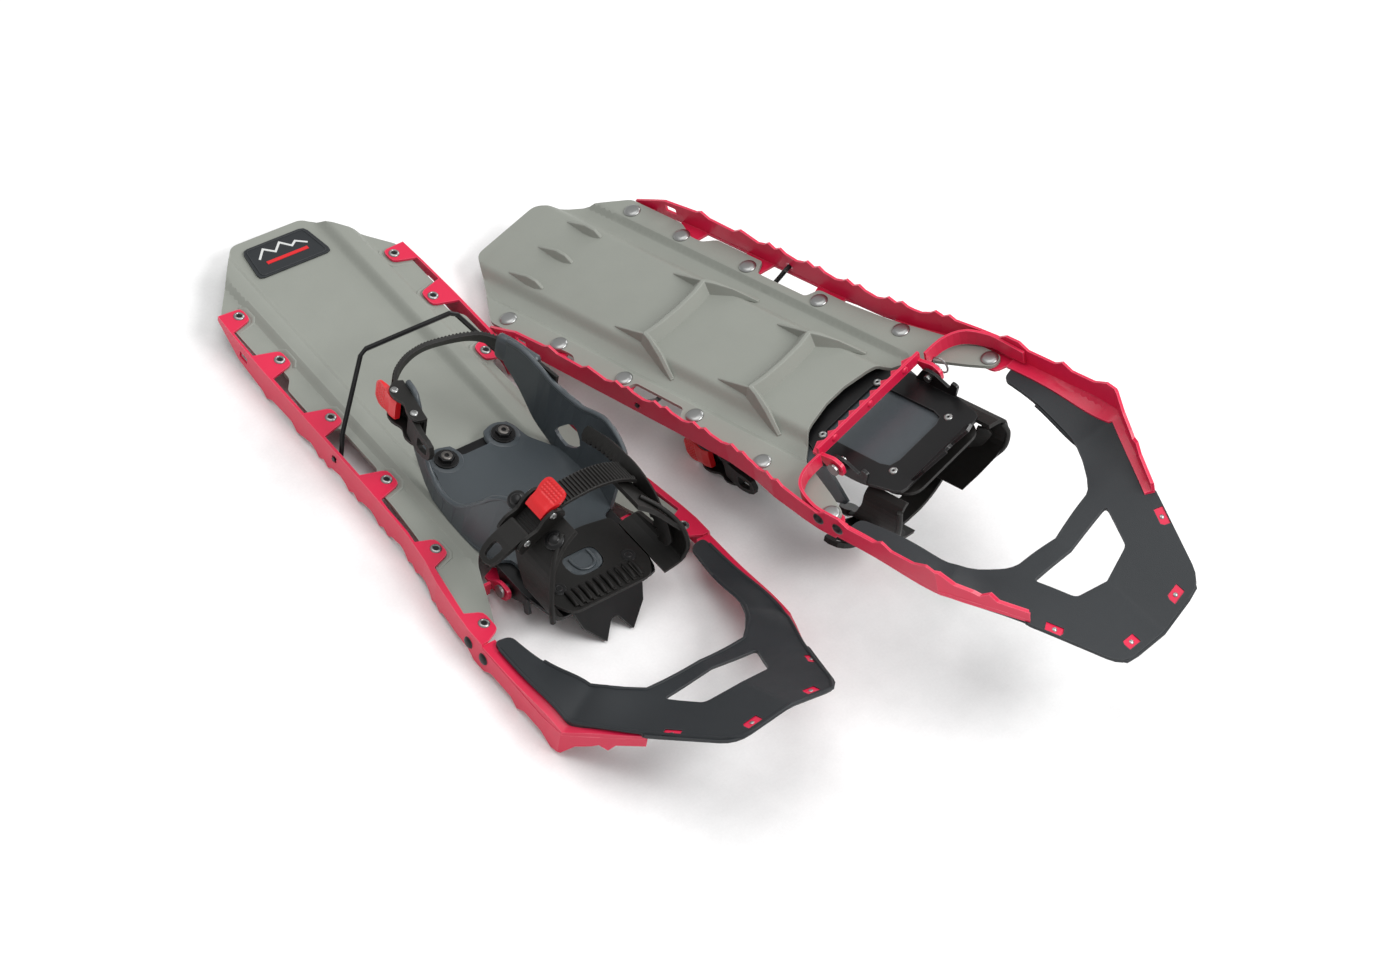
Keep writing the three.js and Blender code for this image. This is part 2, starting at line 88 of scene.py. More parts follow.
def make_camera():
    back = Vector((math.sin(AZIMUTH) * math.cos(ELEVATION), -math.cos(AZIMUTH) * math.cos(ELEVATION),
                   math.sin(ELEVATION)))
    across = (-back).cross(Vector((0, 0, 1))).normalized()
    up = across.cross(-back)
    right = across * math.cos(TILT) + up * math.sin(TILT)
    top = up * math.cos(TILT) - across * math.sin(TILT)
    data = bpy.data.cameras.new("camera")
    data.lens = FOCAL_MM
    data.sensor_width = 36
    data.sensor_fit = "HORIZONTAL"
    data.clip_start, data.clip_end = 0.05, 50
    camera = bpy.data.objects.new("camera", data)
    SCENE.collection.objects.link(camera)
    axes = Matrix((right, top, back)).transposed().to_4x4()
    camera.matrix_world = Matrix.Translation(PLACE["right"] @ CAMERA_AT) @ axes
    SCENE.camera = camera


def area_light(name, at, size, power, aim=(0, 0, 0.05)):
    data = bpy.data.lights.new(name, "AREA")
    data.shape = "RECTANGLE"
    data.size, data.size_y = size
    data.energy = power
    light = bpy.data.objects.new(name, data)
    SCENE.collection.objects.link(light)
    light.location = at
    light.rotation_mode = "QUATERNION"
    light.rotation_quaternion = (Vector(at) - Vector(aim)).to_track_quat("Z", "Y")


def make_studio():
    world = bpy.data.worlds.new("studio")
    world.use_nodes = True
    world.node_tree.nodes["Background"].inputs["Color"].default_value = (1, 1, 1, 1)
    world.node_tree.nodes["Background"].inputs["Strength"].default_value = 0.55
    SCENE.world = world
    SCENE.view_settings.view_transform = "Standard"
    area_light("key", (-0.9, 1.5, 2.0), (1.5, 1.0), 40)
    area_light("top", (0.3, -0.4, 2.4), (2.0, 2.0), 24)
    area_light("rim", (-2.2, -0.6, 1.2), (1.2, 0.9), 14)
    bm = bmesh.new()
    bmesh.ops.create_grid(bm, x_segments=8, y_segments=8, size=6)
    data = bpy.data.meshes.new("floor")
    bm.to_mesh(data)
    floor = bpy.data.objects.new("floor", data)
    SCENE.collection.objects.link(floor)
    floor.location.z = CAD_BOX[0].z - 0.0005
    floor.data.materials.append(material("floor_white", (0.93, 0.93, 0.93), 0.7, grain=0.002, bump=0.0))


# ---------------------------------------------------------------- materials
# In metres: the width of worn edges, the depth of the bump and how far light scatters in soft plastic
WEAR_WIDTH, BUMP_DEPTH, SCATTER = 0.0012, 0.0004, 0.004
# Specular level, roughness of the clear coat and how far roughness varies either way
SHINE, COAT_ROUGH, ROUGH_SPREAD = 0.32, 0.25, 0.09
# How much of the colour variation comes from each noise
FINE_SHARE, BROAD_SHARE = 0.45, 0.55


def material(name, colour, rough, metal=0.0, grain=0.0006, bump=0.12, vary=0.12, wear=None, coat=0.0,
             soft=0.0, blotch=0.02):
    """Procedural surface: broad and fine colour variation, uneven roughness and a fine bump."""
    made = bpy.data.materials.new(name)
    made.use_nodes = True
    nodes, links = made.node_tree.nodes, made.node_tree.links
    shader = nodes["Principled BSDF"]
    place = nodes.new("ShaderNodeTexCoord")

    def noise(size, detail):
        node = nodes.new("ShaderNodeTexNoise")
        node.inputs["Scale"].default_value = 1 / size
        node.inputs["Detail"].default_value = detail
        links.new(place.outputs["Object"], node.inputs["Vector"])
        return node

    broad, fine = noise(blotch, 4.0), noise(grain, 2.0)
    mix = nodes.new("ShaderNodeMix")
    mix.data_type = "RGBA"
    mix.inputs["A"].default_value = (*[c * (1 - vary) for c in colour], 1)
    mix.inputs["B"].default_value = (*[min(1, c * (1 + vary)) for c in colour], 1)
    blend = nodes.new("ShaderNodeMath")
    blend.operation = "MULTIPLY_ADD"
    links.new(fine.outputs["Fac"], blend.inputs[0])
    blend.inputs[1].default_value = FINE_SHARE
    half = nodes.new("ShaderNodeMath")
    half.operation = "MULTIPLY"
    links.new(broad.outputs["Fac"], half.inputs[0])
    half.inputs[1].default_value = BROAD_SHARE
    links.new(half.outputs[0], blend.inputs[2])
    links.new(blend.outputs[0], mix.inputs["Factor"])
    colour_out = mix.outputs["Result"]
    if wear:
        edge = nodes.new("ShaderNodeBevel")
        edge.samples = 4
        edge.inputs["Radius"].default_value = WEAR_WIDTH
        geometry = nodes.new("ShaderNodeNewGeometry")
        dot = nodes.new("ShaderNodeVectorMath")
        dot.operation = "DOT_PRODUCT"
        links.new(edge.outputs["Normal"], dot.inputs[0])
        links.new(geometry.outputs["Normal"], dot.inputs[1])
        ramp = nodes.new("ShaderNodeMapRange")
        ramp.inputs["From Min"].default_value = 0.995
        ramp.inputs["From Max"].default_value = 0.80
        links.new(dot.outputs["Value"], ramp.inputs["Value"])
        patchy = nodes.new("ShaderNodeMath")
        patchy.operation = "MULTIPLY"
        links.new(ramp.outputs["Result"], patchy.inputs[0])
        links.new(broad.outputs["Fac"], patchy.inputs[1])
        worn = nodes.new("ShaderNodeMix")
        worn.data_type = "RGBA"
        worn.inputs["B"].default_value = (*wear, 1)
        links.new(patchy.outputs[0], worn.inputs["Factor"])
        links.new(colour_out, worn.inputs["A"])
        colour_out = worn.outputs["Result"]
    links.new(colour_out, shader.inputs["Base Color"])
    spread = nodes.new("ShaderNodeMapRange")
    spread.inputs["To Min"].default_value = max(0.03, rough - ROUGH_SPREAD)
    spread.inputs["To Max"].default_value = min(1.0, rough + ROUGH_SPREAD)
    links.new(broad.outputs["Fac"], spread.inputs["Value"])
    links.new(spread.outputs["Result"], shader.inputs["Roughness"])
    shader.inputs["Metallic"].default_value = metal
    shader.inputs["Specular IOR Level"].default_value = SHINE
    if coat:
        shader.inputs["Coat Weight"].default_value = coat
        shader.inputs["Coat Roughness"].default_value = COAT_ROUGH
    if soft:
        shader.inputs["Subsurface Weight"].default_value = soft
        shader.inputs["Subsurface Radius"].default_value = (SCATTER, SCATTER, SCATTER)
        shader.inputs["Subsurface Scale"].default_value = 1.0
    if bump:
        lift = nodes.new("ShaderNodeBump")
        lift.inputs["Strength"].default_value = bump
        lift.inputs["Distance"].default_value = BUMP_DEPTH
        links.new(fine.outputs["Fac"], lift.inputs["Height"])
        links.new(lift.outputs["Normal"], shader.inputs["Normal"])
    return made


MATERIALS = {
    "deck_grey": material("deck_plastic", (0.262, 0.274, 0.245), 0.55, grain=0.0007, bump=0.22, vary=0.07,
                          wear=(0.42, 0.43, 0.40)),
    "raspberry_steel": material("raspberry_coat", (0.66, 0.010, 0.058), 0.42, grain=0.0011, bump=0.10,
                                vary=0.08, wear=(0.85, 0.16, 0.24), coat=0.35),
    "nose_charcoal": material("nose_plastic", (0.019, 0.022, 0.025), 0.50, bump=0.30, vary=0.14,
                              wear=(0.07, 0.075, 0.08)),
    "black_steel": material("black_coat", (0.008, 0.008, 0.0085), 0.36, metal=0.35, grain=0.0009,
                            vary=0.2, wear=(0.09, 0.09, 0.09), coat=0.2),
    "smoke_elastomer": material("smoke_elastomer", (0.056, 0.067, 0.075), 0.36, grain=0.0010, bump=0.10,
                                vary=0.10, coat=0.25, soft=0.25, blotch=0.05),
    "plain_steel": material("rivet_steel", (0.34, 0.345, 0.34), 0.36, metal=1.0, grain=0.0005, bump=0.10,
                            vary=0.10),
    "dull_steel": material("bolt_steel", (0.17, 0.16, 0.15), 0.42, metal=0.9, grain=0.0005, vary=0.15),
    "badge_white": material("badge_ink", (0.62, 0.63, 0.62), 0.5, bump=0.1, vary=0.06),
    "lever_red": material("lever_plastic", (0.66, 0.013, 0.018), 0.33, grain=0.0008, bump=0.08, vary=0.07,
                          coat=0.3, soft=0.1),
    "black_elastomer": material("strap_elastomer", (0.0075, 0.0070, 0.0062), 0.52, grain=0.0007, bump=0.25,
                                vary=0.20, wear=(0.045, 0.042, 0.040)),
}


# ---------------------------------------------------------------- making pieces
def finish_piece(name, bm, side, slot, body, smooth_angle=32, bevel=0.0, finish=None):
    """Turns shoe-frame millimetres into a named object riding on a body."""
    data = bpy.data.meshes.new(name)
    bm.to_mesh(data)
    bm.free()
    data.transform(PLACE[side])
    if PLACE[side].determinant() < 0:
        data.flip_normals()
    piece = bpy.data.objects.new(f"{side}_{name}", data)
    SCENE.collection.objects.link(piece)
    data.materials.append(MATERIALS[finish or slot])
    dress(piece, smooth_angle, bevel)
    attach(piece, f"{side}_{body}")
    return piece


def dress(piece, smooth_angle, bevel):
    """Rounds a piece's edges by bevel millimetres and shades it smooth up to an angle in degrees."""
    if bevel:
        flat = piece.modifiers.new("flats", "DECIMATE")
        flat.decimate_type = "DISSOLVE"
        flat.angle_limit = math.radians(1.2)
        edge = piece.modifiers.new("edges", "BEVEL")
        edge.width = bevel * MM
        edge.segments = 3
        edge.limit_method = "ANGLE"
        edge.angle_limit = math.radians(38)
        edge.use_clamp_overlap = True
        edge.harden_normals = False
    piece.data.shade_smooth()
    piece.data.set_sharp_from_angle(angle=math.radians(smooth_angle))


def sheet(outline, top, bottom, spacing, holes=(), creases=()):
    """Closed moulded sheet over a plan outline, its top and bottom heights given by functions."""
    outline, *holes = ([*fine_path([*run, run[0]], 2 * spacing)][:-1] for run in (outline, *holes))
    points = [Vector(p) for p in outline]
    edges = [(i, (i + 1) % len(points)) for i in range(len(points))]
    for hole in holes:
        first = len(points)
        points += [Vector(p) for p in hole]
        edges += [(first + i, first + (i + 1) % len(hole)) for i in range(len(hole))]
    for crease in creases:
        first = len(points)
        points += [Vector(p) for p in crease]
        edges += [(first + i, first + i + 1) for i in range(len(crease) - 1)]
    xs, ys = [p[0] for p in outline], [p[1] for p in outline]
    nx, ny = (int((max(v) - min(v)) / spacing) for v in (xs, ys))
    for i in range(1, nx):
        for j in range(1, ny):
            shift = 0.5 * spacing if j % 2 else 0.0
            points.append(Vector((min(xs) + i * spacing + shift, min(ys) + j * spacing)))
    boundary = [list(range(len(outline)))]
    verts, _, faces, *_ = delaunay_2d_cdt(points, edges, boundary, 2, 0.01)
    bm = bmesh.new()
    upper = [bm.verts.new((v.x, v.y, top(v.x, v.y))) for v in verts]
    lower = [bm.verts.new((v.x, v.y, bottom(v.x, v.y))) for v in verts]
    kept = []
    for f in faces:
        centre = sum((verts[i] for i in f), Vector((0, 0))) / len(f)
        if inside(centre, outline) and not any(inside(centre, h) for h in holes):
            kept.append(f)
    rim = {}
    for f in kept:
        bm.faces.new([upper[i] for i in f])
        bm.faces.new([lower[i] for i in reversed(f)])
        for a, b in zip(f, f[1:] + f[:1]):
            if (b, a) in rim:
                del rim[(b, a)]
            else:
                rim[(a, b)] = True
    for a, b in rim:
        bm.faces.new([upper[b], upper[a], lower[a], lower[b]])
    loose = [v for v in bm.verts if not v.link_faces]
    bmesh.ops.delete(bm, geom=loose, context="VERTS")
    bmesh.ops.recalc_face_normals(bm, faces=bm.faces)
    return bm


def inside(p, outline):
    hit = False
    for (xa, ya), (xb, yb) in zip(outline, outline[1:] + outline[:1]):
        if (ya > p.y) != (yb > p.y) and p.x < (xb - xa) * (p.y - ya) / (yb - ya) + xa:
            hit = not hit
    return hit


def mirrored(points):
    """A run of points on one side, and then the same run back along the other side."""
    return list(points) + flip_x(reversed(points))


def rounded(points, steps=4):
    """Closed outline from corners (x, y, radius)."""
    out = []
    n = len(points)
    for i, corner in enumerate(points):
        at = Vector(corner[:2])
        radius = corner[2] if len(corner) > 2 else 0
        if not radius:
            out.append((at.x, at.y))
            continue
        a = at + (Vector(points[i - 1][:2]) - at).normalized() * radius
        b = at + (Vector(points[(i + 1) % n][:2]) - at).normalized() * radius
        for k in range(steps + 1):
            t = k / steps
            p = a * (1 - t) ** 2 + at * 2 * t * (1 - t) + b * t * t
            out.append((p.x, p.y))
    return out


def lathe(profile, at, normal=(0, 0, 1), sides=24):
    """Turned piece: profile is (radius, height) from the axis out and back."""
    bm = bmesh.new()
    turn = Vector((0, 0, 1)).rotation_difference(Vector(normal)).to_matrix()
    rings = []
    for k in range(sides):
        a = 2 * math.pi * k / sides
        rings.append([bm.verts.new(Vector(at) + turn @ Vector((r * math.cos(a), r * math.sin(a), h)))
                      for r, h in profile])
    for k in range(sides):
        one, two = rings[k], rings[(k + 1) % sides]
        for j in range(len(profile) - 1):
            bm.faces.new([one[j], two[j], two[j + 1], one[j + 1]])
    bmesh.ops.remove_doubles(bm, verts=bm.verts, dist=1e-4)
    bmesh.ops.recalc_face_normals(bm, faces=bm.faces)
    return bm


def merge(into, other):
    data = bpy.data.meshes.new("scratch")
    other.to_mesh(data)
    other.free()
    into.from_mesh(data)
    bpy.data.meshes.remove(data)
    return into


def skin(bm, rings, capped=True):
    """Joins rings of vertices, one after another, and closes the first and the last."""
    for one, two in zip(rings, rings[1:]):
        for k in range(len(one)):
            after = (k + 1) % len(one)
            bm.faces.new([one[k], one[after], two[after], two[k]])
    if capped:
        bm.faces.new(rings[0])
        bm.faces.new(list(reversed(rings[-1])))
        bmesh.ops.recalc_face_normals(bm, faces=bm.faces)


def heading(run, i):
    """Direction of a run of points at its point i."""
    return (run[min(i + 1, len(run) - 1)] - run[max(i - 1, 0)]).normalized()


def flip_x(points):
    return [(-x, *rest) for x, *rest in points]


def smooth_step(a, b, x):
    t = max(0.0, min(1.0, (x - a) / (b - a)))
    return t * t * (3 - 2 * t)


# ---------------------------------------------------------------- deck
RIVETS = [(72, 0), (71, 55.5), (71.5, 126), (71.5, 200), (79.5, 275), (91, 351)]
# Rail tabs: inner end, middle and half width
TABS = [(66, 0, 7), (65, 55.5, 8), (65.5, 126, 8), (65.5, 200, 8), (74, 275, 8)]
DECK_TOP, DECK_CENTRE, DECK_RIDGE, DECK_THICK = -2.4, -4.6, 2.2, 3.0
BRAKE_ROWS, BRAKE_HEIGHT, FIN_HEIGHT = (116, 225), -9.5, -6.5
DECK_OUTLINE = rounded(mirrored([
    (33, -74, 6), (60, -38, 10), (82, -10, 4), (82, 46, 3), (74, 62, 3), (74, 74, 3), (82, 84, 3),
    (82, 132, 2), (70, 137, 3), (70, 187, 3), (81, 192, 3), (81, 222, 6), (84, 260, 6), (91, 300, 8),
    (98, 338, 4), (98, 358, 6), (86, 359, 5), (77, 340, 4), (68, 318, 4), (60, 299, 6), (36, 283, 6),
    (10, 278)]))


def deck_sheet(x):
    side = abs(x)
    up = smooth_step(38.5, 47.5, side) * (DECK_RIDGE - DECK_CENTRE)
    down = smooth_step(58, 64, side) * (DECK_RIDGE - DECK_TOP)
    return DECK_CENTRE + up - down


def deck_top(x, y):
    return deck_sheet(x)


def deck_bottom(x, y):
    return deck_sheet(x) - DECK_THICK


# A ridge's foot sinks this far into its base, and keeps this share of its width where it fades out
FOOT_DEPTH, LEAST_FOOT = 0.6, 0.35


def ridge(points, crest, root, height, base, lean=0.0):
    """Wall with sloping sides along a plan path; each point is (x, y, share of the full height).

    crest and root are half widths at its top and foot, and lean widens one side's foot.
    """
    bm = bmesh.new()
    rings = []
    for i, (x, y, share) in enumerate(points):
        here = Vector((x, y))
        back = (here - Vector(points[max(i - 1, 0)][:2]))
        ahead = (Vector(points[min(i + 1, len(points) - 1)][:2]) - here)
        way = (back.normalized() + ahead.normalized()).normalized()
        side = Vector((-way.y, way.x))
        corner = 0 < i < len(points) - 1
        miter = 1 / max(0.5, side.dot(Vector((-ahead.y, ahead.x)).normalized())) if corner else 1
        foot, sunk = max(share, LEAST_FOOT), math.copysign(FOOT_DEPTH, -height)
        ring = []
        for off, rise, spread in ((-root - lean * share, sunk, foot), (-crest, height * share, 1),
                                  (crest, height * share, 1), (root, sunk, foot)):
            p = here + side * off * miter * spread
            ring.append(bm.verts.new((p.x, p.y, base(p.x, p.y) + rise)))
        rings.append(ring)
    skin(bm, rings)
    return bm


def make_brakes(side):
    """Moulded brake bars with forward legs and rear spurs, and three fins near the tail."""
    bars = bmesh.new()
    for row in BRAKE_ROWS:
        bow = [(-34, row, 1), (-20, row + 2.4, 1), (0, row + 3.2, 1), (20, row + 2.4, 1), (34, row, 1)]
        merge(bars, ridge(bow, 1.5, 6.5, BRAKE_HEIGHT, deck_bottom, 5))
        leg = [(33.2, row - 1, 1), (36.5, row + 8, 0.96), (42, row + 22, 0.72), (50, row + 40, 0.15)]
        for run in (leg, flip_x(leg)):
            merge(bars, ridge(run, 1.4, 5.5, BRAKE_HEIGHT, deck_bottom))
        for x in (34, -34):
            spur = [(x, row + 1, 1), (x, row - 9, 0.72), (x, row - 34, 0.06)]
            merge(bars, ridge(spur, 0.9, 3.6, BRAKE_HEIGHT, deck_bottom))
    for x in (34, 0, -34):
        fin = [(x, 2, 0.1), (x, -4, 0.9), (x, -14, 1), (x, -36, 0.06)]
        merge(bars, ridge(fin, 1.1, 4.4, FIN_HEIGHT, deck_bottom))
    finish_piece("brake_bars", bars, side, "deck_grey", "frame", 30, bevel=0.8)


def make_tab_lips(side):
    """Raised lip in the deck round each rail tab, kept inside the deck's own outline."""
    lips = bmesh.new()
    for x, y, half in TABS:
        root = min(86 + max(0, (y - 240) * 0.13), 98)
        edge = 80.0 if y < 250 else root - 3
        share = (edge - x) / (root - x)
        run = [(edge, y - half - 3 - 6 * share), (x, y - half - 3), (x - 3, y - half + 1.5),
               (x - 3, y + half - 1.5), (x, y + half + 3), (edge, y + half + 3 + 6 * share)]
        run = [(px, py, 0.4 if k in (0, 5) else 1) for k, (px, py) in enumerate(run)
               if inside(Vector((px, py)), DECK_OUTLINE)]
        for path in (run, flip_x(run)):
            merge(lips, ridge(path, 0.9, 2.0, 0.75, deck_top))
    finish_piece("tab_lips", lips, side, "deck_grey", "frame", 40, bevel=0.4)


def make_deck(side):
    bm = sheet(DECK_OUTLINE, deck_top, deck_bottom, 3.0,
               creases=[[(x, -30), (x, 262)] for x in (38.5, 47.5, -38.5, -47.5)]
               + [[(x, -10), (x, 292)] for x in (58, 64, -58, -64)])
    piece = finish_piece("deck_shell", bm, side, "deck_grey", "frame", smooth_angle=24, bevel=0.5)
    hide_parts(f"{side}_deck")
    make_brakes(side)
    make_tab_lips(side)


# Rivet sections as (radius, height)
DOME = [(0, -7.7), (3.6, -7.65), (4.6, -7.5), (5.6, -7.1), (6.6, -6.4), (7.0, -5.8), (7.0, -5.35),
        (0, -5.35)]
EYELET = [(2.2, 0.2), (2.3, 0.9), (2.9, 1.3), (3.8, 1.0), (4.5, 0.2), (4.5, -0.1), (2.2, -0.1), (2.2, 0.2)]
# Section of the flat dark disc set in each eyelet's hole: painted shade standing in for the deep bore
BORE_SHADE_DISC = [(0, 0.45), (2.25, 0.4), (2.25, 0), (0, 0)]
RAIL_RIVET = [(0, 2.0), (2.4, 1.8), (4.2, 1.0), (4.8, 0), (0, 0)]


def make_rivets(side):
    domes, eyelets, bore_shade_discs = bmesh.new(), bmesh.new(), bmesh.new()
    for x, y in mirrored(RIVETS):
        merge(domes, lathe(DOME, (x, y, 0)))
        merge(eyelets, lathe(EYELET, (x, y, 0)))
        merge(bore_shade_discs, lathe(BORE_SHADE_DISC, (x, y, 0)))
    finish_piece("deck_rivets", domes, side, "plain_steel", "frame", 50)
    finish_piece("tab_eyelets", eyelets, side, "plain_steel", "frame", 50)
    # The black discs in the eyelet holes are painted shade, not a real part of the eyelets
    finish_piece("eyelet_bore_shade", bore_shade_discs, side, "black_steel", "frame", 40)
    side_rivets = bmesh.new()
    for sign in (1, -1):
        for y in (352, 370):
            merge(side_rivets, lathe(RAIL_RIVET, (sign * 104, y, -12), (sign, 0, 0)))
    finish_piece("rail_rivets", side_rivets, side, "black_steel", "frame", 40)


# ---------------------------------------------------------------- nose
NOSE_THICK, NOSE_LIFT = 3.4, 0.8
NOSE_NORMAL = Vector((0, -0.46, 0.89))
PIP = [(0, 0.7), (1.3, 0.5), (1.9, 0), (0, -0.2)]
TAB_INSET = 0.9      # how far the red window tabs lie below the nose's faces
RIM_DEPTH, RIM_RADIUS = 0.4, 1.5


def nose_height(x, y):
    side = abs(x)
    ramp = max(0.0, 0.518 * y - 0.2166 * side - 217.2)
    return ramp + 16 * math.exp(-((side - 66) ** 2 + (y - 448) ** 2) / 1152)


NOSE_OUTER = [(82, 371, 5), (95.5, 369, 5), (97.5, 462, 8), (73, 505, 5), (74.5, 510, 3), (45, 568, 12)]
NOSE_INNER = [(0, 479.5), (44, 476, 10), (70, 447, 14), (78, 400, 20)]
NOSE_SLOT = rounded([(42, 491, 4), (29, 517, 4), (0, 521), (-29, 517, 4), (-42, 491, 4)])


# Centre of each window and the way its long side runs, then half of each raised rim
WINDOWS = [((26, 560), (1, 0)), ((-26, 560), (1, 0)), ((62.5, 524), (-0.46, 0.89)),
           ((-62.5, 524), (0.46, 0.89))]
RIMS = ([(95.6, 376), (97, 456), (92, 470), (73.5, 505.5), (49, 556), (40, 566.5), (30, 567.5), (0, 567.5)],
        [(77, 404), (70, 446), (60, 462), (44, 475.5), (0, 479)])


def nose_outline():
    return rounded(mirrored(NOSE_OUTER) + flip_x(reversed(NOSE_INNER[1:])) + NOSE_INNER)


def window(at, way, grow=0.0):
    (x, y), (a, b) = at, way
    half, deep = 6.0 + grow, 3.6 + grow
    return [(x + a * u * half - b * v * deep, y + b * u * half + a * v * deep)
            for u, v in ((-1, -1), (0.75, -1), (1, -0.3), (1, 1), (-1, 1))]


def nose_top(x, y):
    return nose_height(x, y) + NOSE_LIFT


def make_nose(side):
    bm = sheet(nose_outline(), nose_top, lambda x, y: nose_top(x, y) - NOSE_THICK, 3.5,
               holes=[NOSE_SLOT] + [window(*w) for w in WINDOWS], creases=[[(0, 484), (0, 488)]])
    piece = finish_piece("nose_shell", bm, side, "nose_charcoal", "frame", 32, bevel=0.7)
    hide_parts(f"{side}_nose")
    tabs, pips = bmesh.new(), bmesh.new()
    for at, way in WINDOWS:
        merge(tabs, sheet(window(at, way, 0.5), lambda x, y: nose_top(x, y) - TAB_INSET,
                          lambda x, y: nose_top(x, y) - NOSE_THICK + TAB_INSET, 3.0))
        for sign in (1, -1):
            top = nose_top(*at) - (TAB_INSET if sign > 0 else NOSE_THICK - TAB_INSET)
            merge(pips, lathe(PIP, (*at, top), NOSE_NORMAL * sign, 14))
    finish_piece("nose_tabs", tabs, side, "raspberry_steel", "frame", 30, bevel=0.3)
    finish_piece("nose_pips", pips, side, "plain_steel", "frame", 40)
    rim = bmesh.new()
    for half in RIMS:
        path = fine_path(half + flip_x(reversed(half[:-1])), 6)
        merge(rim, tube([Vector((x, y, nose_top(x, y) - RIM_DEPTH)) for x, y in path], RIM_RADIUS, 8))
    finish_piece("nose_rim", rim, side, "nose_charcoal", "frame", 60)
    lips = bmesh.new()
    run = [(92, 366), (FLANGE_X, 366), (FLANGE_X, FLANGE_TURN_Y), (72.2, 511.5), (66, 507), (94, 460),
           (92, 458)]
    for points in (run, flip_x(run)):
        merge(lips, sheet(points, lambda x, y: nose_top(x, y) - NOSE_THICK + 0.5, flange_bottom, 3.0))
    finish_piece("nose_flange", lips, side, "raspberry_steel", "frame", 30, bevel=0.5)


# The flange's outer edge runs straight to FLANGE_TURN_Y, then tapers in by (across, along)
FLANGE_X, FLANGE_TURN_Y, FLANGE_TAPER = 103.7, 461, (31.5, 50.5)


def flange_bottom(x, y):
    """Underside of the flange strip: its outer edge turns down to meet the top of the rail wall."""
    plain = nose_top(x, y) - NOSE_THICK - 1.4
    rail_top = -3.4 + 3.8 * max(0.0, min(1.0, (y - 440) / 23)) + 0.563 * max(0.0, y - 463)
    inward = FLANGE_X - abs(x)
    if y >= FLANGE_TURN_Y:
        across, along = FLANGE_TAPER
        inward = (inward * along - (y - FLANGE_TURN_Y) * across) / 59.5
    return min(plain, rail_top - 1.2) if inward < 1.0 else plain


def fine_path(points, step):
    out = []
    for a, b in zip(points, points[1:]):
        a, b = Vector(a), Vector(b)
        count = max(1, int((b - a).length / step))
        out += [tuple(a.lerp(b, k / count)) for k in range(count)]
    return out + [tuple(points[-1])]


def tube(points, radius, sides):
    """Round bar along a run of points, its ends domed."""
    bm = bmesh.new()
    way = (points[1] - points[0]).normalized()
    normal = way.orthogonal().normalized()
    rings = []
    for i, p in enumerate(points):
        ahead = heading(points, i)
        normal = (normal - ahead * normal.dot(ahead)).normalized()
        other = ahead.cross(normal)
        rings.append([bm.verts.new(p + (normal * math.cos(t) + other * math.sin(t)) * radius)
                      for t in (2 * math.pi * k / sides for k in range(sides))])
    skin(bm, rings, capped=False)
    for ring, centre, out in ((rings[0], points[0], points[0] - points[1]),
                              (rings[-1], points[-1], points[-1] - points[-2])):
        tip = bm.verts.new(centre + out.normalized() * radius * 0.5)
        for k in range(sides):
            bm.faces.new([ring[k], ring[(k + 1) % sides], tip])
    bmesh.ops.recalc_face_normals(bm, faces=bm.faces)
    return bm


# ---------------------------------------------------------------- straps
def smooth_run(points, step):
    """Evenly spaced points on a smooth curve through the given ones."""
    pts = [Vector(p) for p in points]
    dense = []
    for i in range(len(pts) - 1):
        a, b = pts[i], pts[i + 1]
        before = pts[i - 1] if i else a * 2 - b
        after = pts[i + 2] if i + 2 < len(pts) else b * 2 - a
        for k in range(24):
            t = k / 24
            dense.append(0.5 * (2 * a + (b - before) * t + (2 * before - 5 * a + 4 * b - after) * t * t
                                + (3 * a - before - 3 * b + after) * t ** 3))
    dense.append(pts[-1])
    out, travelled = [dense[0]], 0.0
    for a, b in zip(dense, dense[1:]):
        length = (b - a).length
        while travelled + length >= step:
            share = (step - travelled) / length
            a = a.lerp(b, share)
            out.append(a)
            length = (b - a).length
            travelled = 0.0
        travelled += length
    return out


STRAP_THICK, TOOTH_PITCH, TOOTH_RISE = 2.4, 3.0, 1.3
TOOTH_STEPS = 5      # sections along the strap in one tooth pitch


def ladder_strap(points, across, inside_at, width, toothed, lean=0.0):
    """Flexible strap with cross teeth on the face turned away from a point inside the loop.

    toothed is the stretch with teeth, as shares of the length. The strap's far edge leans in over
    the loop, by lean at mid-length and not at all at the ends.
    """
    run = smooth_run(points, TOOTH_PITCH / TOOTH_STEPS)
    bm = bmesh.new()
    upright = Vector(across)
    rings = []
    for i, p in enumerate(run):
        ahead = heading(run, i)
        normal = upright.cross(ahead).normalized()
        if normal.dot(p - Vector(inside_at)) < 0:
            normal = -normal
        share = i / (len(run) - 1)
        turn = lean * smooth_step(0.12, 0.45, share) * (1 - smooth_step(0.55, 0.9, share))
        across = upright * math.cos(turn) - normal * math.sin(turn)
        normal = normal * math.cos(turn) + upright * math.sin(turn)
        rise = TOOTH_RISE if toothed[0] < share < toothed[1] and i % TOOTH_STEPS < 2 else 0.0
        half, low = width / 2, STRAP_THICK / 2
        ring = [bm.verts.new(p + across * s + normal * h)
                for s, h in ((-half, -low), (-half, low), (0.5 - half, low + 0.3), (0.9 - half, low + rise),
                             (half - 0.9, low + rise), (half - 0.5, low + 0.3), (half, low), (half, -low))]
        rings.append(ring)
    skin(bm, rings)
    return bm


# The instep strap follows half an ellipse over the foot, its buckle at INSTEP_DEGREES along it
ARCH_WIDTH, ARCH_BASE, ARCH_HEIGHT = 55, 30, 45
INSTEP_Y, INSTEP_DEGREES, INSTEP_OUT, INSTEP_TILT = 333, 43, 2.2, math.radians(58)
HEEL_STRAP_Z = 58


